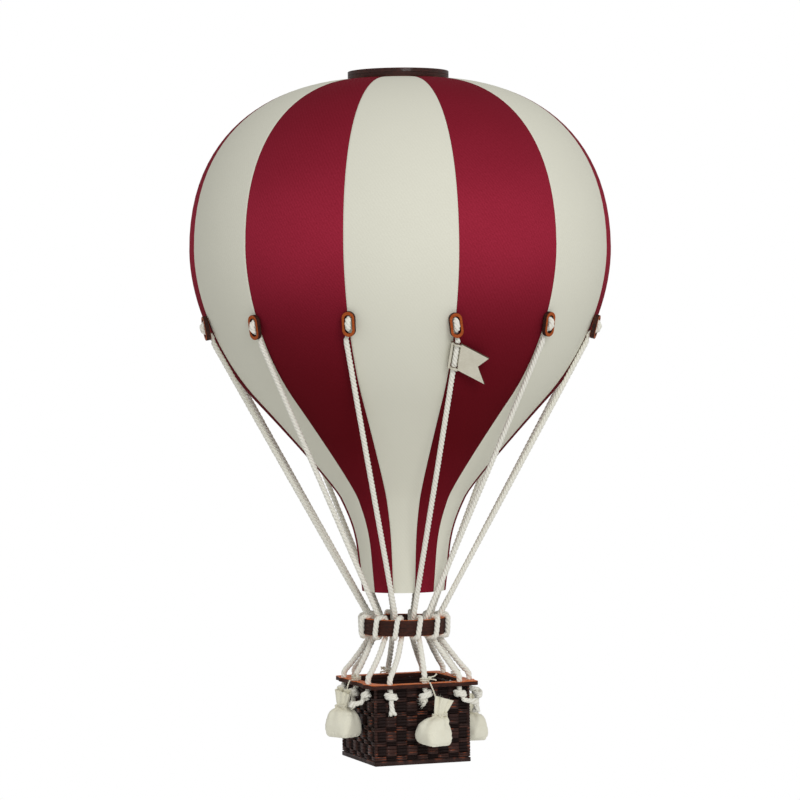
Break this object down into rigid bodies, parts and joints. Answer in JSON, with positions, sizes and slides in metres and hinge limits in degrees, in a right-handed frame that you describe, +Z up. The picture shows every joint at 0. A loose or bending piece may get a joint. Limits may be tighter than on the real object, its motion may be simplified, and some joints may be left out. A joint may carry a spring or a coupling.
{
  "type": "decorative hanging model hot air balloon",
  "caption": "Hanging model of a hot air balloon: striped cloth envelope, plywood rings and links, cotton ropes, and a woven basket with sandbags.",
  "frame": {"origin": "centre of the top ring's upper face, where the model hangs", "axes": "+Z up the balloon's axis, -Y to the front, where the first cream gore faces, +X to the right"},
  "size_m": [0.3012, 0.3012, 0.4912],
  "materials": {
    "cream_cloth": "fine knitted cloth with a slight sheen",
    "burgundy_cloth": "fine knitted cloth with a slight sheen",
    "plywood": "stained and oiled",
    "dark_plywood": "dark stain under a clear gloss",
    "cotton_rope": "natural twisted cotton",
    "muslin": "plain woven cotton",
    "pennant_card": "matt painted"
  },
  "bodies": {
    "balloon": {"top_ring": "plywood", "load_ring": "dark_plywood", "basket": "dark_plywood", "basket_rim": "plywood", "gore_01": "cream_cloth", "gore_02": "burgundy_cloth", "gore_03": "cream_cloth", "gore_04": "burgundy_cloth", "gore_05": "cream_cloth", "gore_06": "burgundy_cloth", "gore_07": "cream_cloth", "gore_08": "burgundy_cloth", "gore_09": "cream_cloth", "gore_10": "burgundy_cloth", "gore_11": "cream_cloth", "gore_12": "burgundy_cloth", "link_01": "plywood", "link_02": "plywood", "link_03": "plywood", "link_04": "plywood", "link_05": "plywood", "link_06": "plywood", "link_07": "plywood", "link_08": "plywood", "link_09": "plywood", "link_10": "plywood", "link_11": "plywood", "link_12": "plywood", "rope_01": "cotton_rope", "rope_02": "cotton_rope", "rope_03": "cotton_rope", "rope_04": "cotton_rope", "rope_05": "cotton_rope", "rope_06": "cotton_rope", "rope_07": "cotton_rope", "rope_08": "cotton_rope", "rope_09": "cotton_rope", "rope_10": "cotton_rope", "rope_11": "cotton_rope", "rope_12": "cotton_rope", "sandbag_tie_1": "cotton_rope", "sandbag_tie_2": "cotton_rope", "sandbag_tie_3": "cotton_rope", "sandbag_tie_4": "cotton_rope"},
    "sandbag_1": {"sandbag_1": "muslin", "sandbag_cord_1": "cotton_rope"},
    "sandbag_2": {"sandbag_2": "muslin", "sandbag_cord_2": "cotton_rope"},
    "sandbag_3": {"sandbag_3": "muslin", "sandbag_cord_3": "cotton_rope"},
    "sandbag_4": {"sandbag_4": "muslin", "sandbag_cord_4": "cotton_rope"},
    "pennant": {"pennant": "pennant_card"}
  },
  "joints": [
    {"name": "sandbag_1_swing", "type": "hinge", "parent": "balloon", "child": "sandbag_1", "pos_m": [0.01725, -0.03863, -0.4337], "axis": [-0.9397, -0.342, 0], "range_deg": [0, 75]},
    {"name": "sandbag_2_swing", "type": "hinge", "parent": "balloon", "child": "sandbag_2", "pos_m": [0.03863, 0.01725, -0.4337], "axis": [0.342, -0.9397, 0], "range_deg": [0, 75]},
    {"name": "sandbag_3_swing", "type": "hinge", "parent": "balloon", "child": "sandbag_3", "pos_m": [-0.01725, 0.03863, -0.4337], "axis": [0.9397, 0.342, 0], "range_deg": [0, 75]},
    {"name": "sandbag_4_swing", "type": "hinge", "parent": "balloon", "child": "sandbag_4", "pos_m": [-0.03863, -0.01725, -0.4337], "axis": [-0.342, 0.9397, 0], "range_deg": [0, 75]},
    {"name": "pennant_turn", "type": "hinge", "parent": "balloon", "child": "pennant", "pos_m": [0.03623, -0.12799, -0.203], "axis": [0.1465, -0.4908, 0.8589], "range_deg": [-180, 0]}
  ]
}
